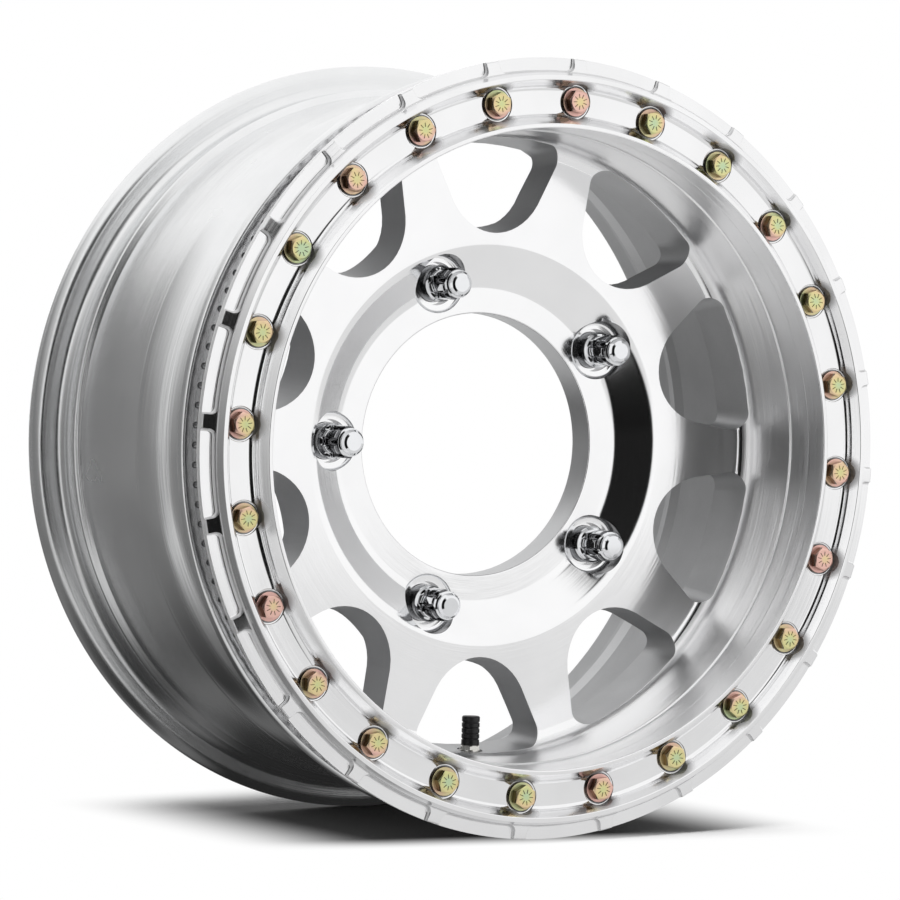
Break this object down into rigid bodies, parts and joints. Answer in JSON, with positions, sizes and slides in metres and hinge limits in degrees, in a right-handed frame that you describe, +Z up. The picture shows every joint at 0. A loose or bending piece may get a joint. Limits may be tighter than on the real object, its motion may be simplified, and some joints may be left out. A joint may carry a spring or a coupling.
{
  "type": "beadlock wheel",
  "caption": "Machined aluminium off-road wheel with radial spokes, a large hub bore and a bolted outer ring that clamps the tyre bead.",
  "frame": {"origin": "centre of the face that bolts to the hub, on the axle's axis", "axes": "+Y along the axle towards the vehicle, +Z up, so the street side faces -Y"},
  "size_m": [0.4711, 0.2418, 0.4712],
  "materials": {
    "aluminium": "machined with fine turning marks",
    "ring_aluminium": "polished and machined",
    "yellow_zinc": "yellow zinc plating with a faint rainbow sheen",
    "chrome": "bright chrome",
    "nickel": "nickel plated",
    "brass": "plain turned brass",
    "rubber": "matt black rubber",
    "black_plastic": "ribbed black plastic"
  },
  "bodies": {
    "wheel": {"wheel": "aluminium", "beadlock_ring": "ring_aluminium", "ring_bolts": "yellow_zinc", "ring_washers": "yellow_zinc", "lug_nuts": "chrome", "valve_stem": "nickel", "valve_grommet": "rubber", "valve_washer": "nickel", "valve_nut": "nickel", "core_body": "brass", "core_spring": "nickel"},
    "cap_carrier": {"cap_seal": "rubber"},
    "cap": {"valve_cap": "black_plastic"},
    "pin": {"core_pin": "brass", "core_seal": "rubber"}
  },
  "joints": [
    {"name": "cap_lift", "type": "slide", "parent": "wheel", "child": "cap_carrier", "axis": [0.0398, 0, 0.9992], "range_m": [0, 0.00476]},
    {"name": "cap_turn", "type": "hinge", "parent": "cap_carrier", "child": "cap", "pos_m": [-0.0067, -0.0245, -0.16827], "axis": [0.0398, 0, 0.9992], "range_deg": [0, 2160]},
    {"name": "pin_press", "type": "slide", "parent": "wheel", "child": "pin", "axis": [-0.0398, 0, -0.9992], "range_m": [0, 0.0012], "stiffness_N_per_m": 1500, "springref_m": -0.002, "deforming": ["core_spring"]}
  ],
  "couplings": [
    {"joint": "cap_turn", "follows": "cap_lift", "rad_per_m": 7915.8}
  ]
}
